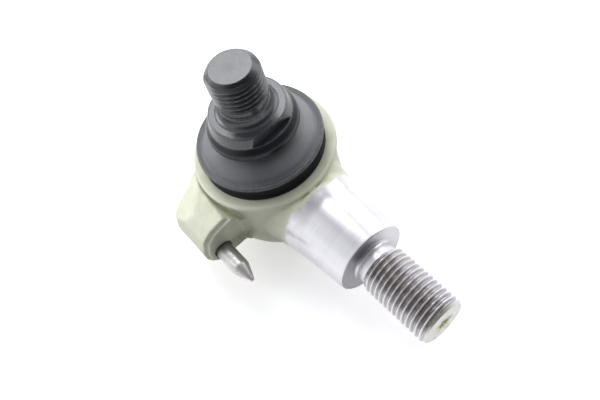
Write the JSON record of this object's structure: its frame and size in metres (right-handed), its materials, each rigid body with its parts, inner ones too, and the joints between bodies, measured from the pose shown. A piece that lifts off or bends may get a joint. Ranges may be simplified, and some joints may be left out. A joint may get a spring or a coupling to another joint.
{
  "type": "tie rod end",
  "caption": "Ball joint for a suspension link: swivelling threaded ball stud under a rubber boot, in a forged socket with a tapered threaded mounting shank and a pointed locating pin.",
  "frame": {"origin": "centre of the ball, where the stud's axis meets the shank's axis", "axes": "+Z along the ball stud towards its thread with the stud upright; +X along the tapered shank towards its thread; the locating pin lies on the -Y side"},
  "size_m": [0.0854, 0.0514, 0.059],
  "materials": {
    "coated_forging": "pale greenish zinc coating on a forging, with the tapered shank machined bright",
    "bright_steel": "ground steel",
    "black_phosphated_steel": "matt black phosphate",
    "bearing_plastic": "natural acetal, smooth",
    "spring_steel": "oiled spring steel",
    "cover_steel": "pale zinc coating",
    "seal_rubber": "smooth black rubber",
    "boot_rubber": "satin dark grey rubber",
    "ring_steel": "plain steel"
  },
  "bodies": {
    "housing": {"housing": "coated_forging", "locating_pin": "bright_steel", "upper_race": "bearing_plastic", "lower_race": "bearing_plastic", "disc_spring": "spring_steel", "closing_cover": "cover_steel", "cover_seal_ring": "seal_rubber"},
    "boot": {"dust_boot": "boot_rubber", "boot_lower_ring": "ring_steel"},
    "boot_neck": {"boot_upper_ring": "ring_steel"},
    "stud": {"ball_stud": "black_phosphated_steel"}
  },
  "joints": [
    {"name": "swing_direction", "type": "hinge", "parent": "housing", "child": "boot", "pos_m": [0, 0, 0], "axis": [0, 0, 1], "continuous": true},
    {"name": "swing", "type": "hinge", "parent": "boot", "child": "boot_neck", "pos_m": [0, 0, 0], "axis": [0, 1, 0], "range_deg": [-20, 20], "deforming": ["dust_boot"]},
    {"name": "stud_spin", "type": "hinge", "parent": "boot_neck", "child": "stud", "pos_m": [0, 0, 0], "axis": [0, 0, 1], "continuous": true}
  ]
}
